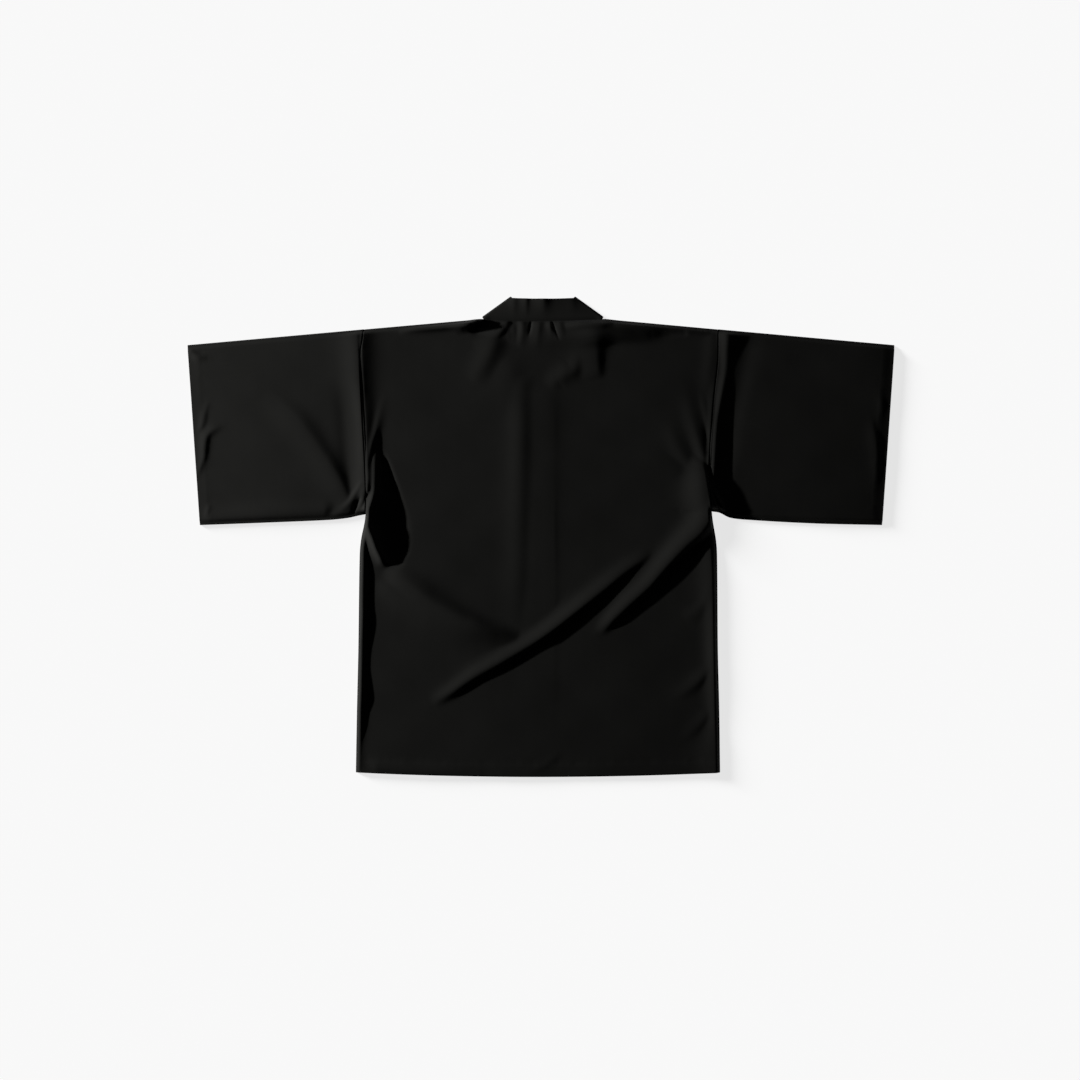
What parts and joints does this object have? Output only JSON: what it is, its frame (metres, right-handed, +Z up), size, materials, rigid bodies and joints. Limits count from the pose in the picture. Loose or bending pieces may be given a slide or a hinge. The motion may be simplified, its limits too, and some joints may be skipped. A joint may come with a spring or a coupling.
{
  "type": "kimono jacket",
  "caption": "Short open-front kimono jacket with a long collar band and wide straight sleeves, laid flat with its back side up.",
  "frame": {"origin": "middle of the garment's outline on the surface that it lies on", "axes": "+X towards the wearer's right sleeve, +Y towards the collar, +Z up from the surface, out of the back"},
  "size_m": [1.299, 0.8837, 0.0248],
  "materials": {
    "cloth": "matte black plain-woven cloth",
    "collar_cloth": "matte black plain-woven cloth, folded double"
  },
  "bodies": {
    "root": {"back": "cloth", "front_left": "cloth", "front_right": "cloth", "sleeve_left": "cloth", "sleeve_right": "cloth", "collar": "collar_cloth"}
  },
  "joints": []
}
